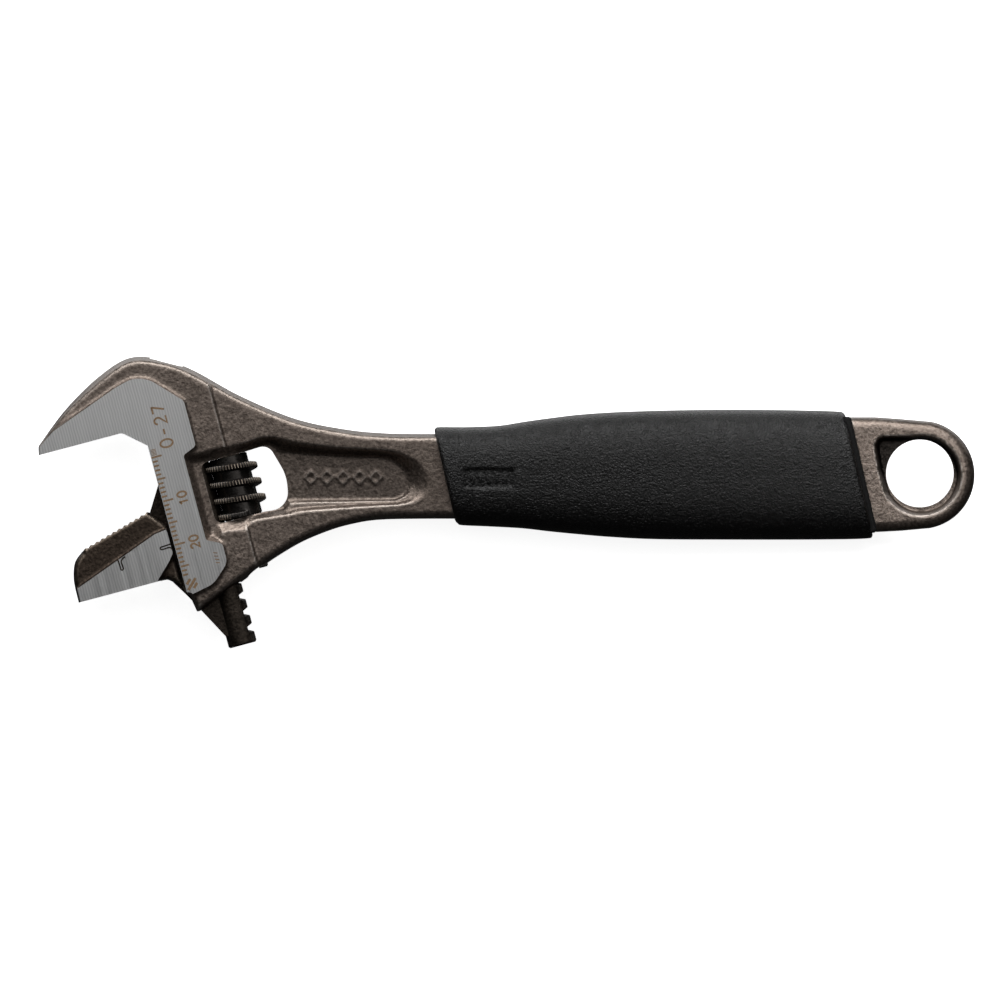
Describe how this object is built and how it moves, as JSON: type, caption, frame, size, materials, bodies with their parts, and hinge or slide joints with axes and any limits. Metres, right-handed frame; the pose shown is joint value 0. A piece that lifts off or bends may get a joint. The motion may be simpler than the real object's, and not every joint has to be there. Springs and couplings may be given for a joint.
{
  "type": "adjustable wrench",
  "caption": "Adjustable wrench with a reversible toothed jaw on a round rack, a knurled worm, a moulded soft grip and a hanging hole",
  "frame": {"origin": "centre of the hanging hole, halfway through the thickness of the handle", "axes": "+X along the handle, away from the head; +Y towards the fixed jaw's side; +Z out of one flat side, along the hanging hole"},
  "size_m": [0.2078, 0.0648, 0.018],
  "materials": {
    "forged_steel": "phosphated forging with ground faces",
    "jaw_steel": "dark phosphated forging with ground faces",
    "black_oxide": "oiled black oxide, knurled",
    "pin_steel": "dark steel screw",
    "spring_steel": "bright wire",
    "core_plastic": "black moulded plastic",
    "grip_rubber": "black elastomer with a fine leather grain"
  },
  "bodies": {
    "wrench": {"wrench_body": "forged_steel", "worm_pin": "pin_steel", "worm_spring": "spring_steel", "grip_core": "core_plastic", "grip_sleeve": "grip_rubber"},
    "jaw": {"movable_jaw": "jaw_steel"},
    "worm": {"adjusting_worm": "black_oxide"}
  },
  "joints": [
    {"name": "jaw_slide", "type": "slide", "parent": "wrench", "child": "jaw", "axis": [0.2588, -0.9659, 0], "range_m": [-0.017, 0.0092]},
    {"name": "worm_spin", "type": "hinge", "parent": "wrench", "child": "worm", "pos_m": [-0.1519, -0.00292, 0], "axis": [0.2588, -0.9659, 0], "range_deg": [-1680, 910]}
  ],
  "couplings": [
    {"joint": "worm_spin", "follows": "jaw_slide", "rad_per_m": 1721.4}
  ]
}
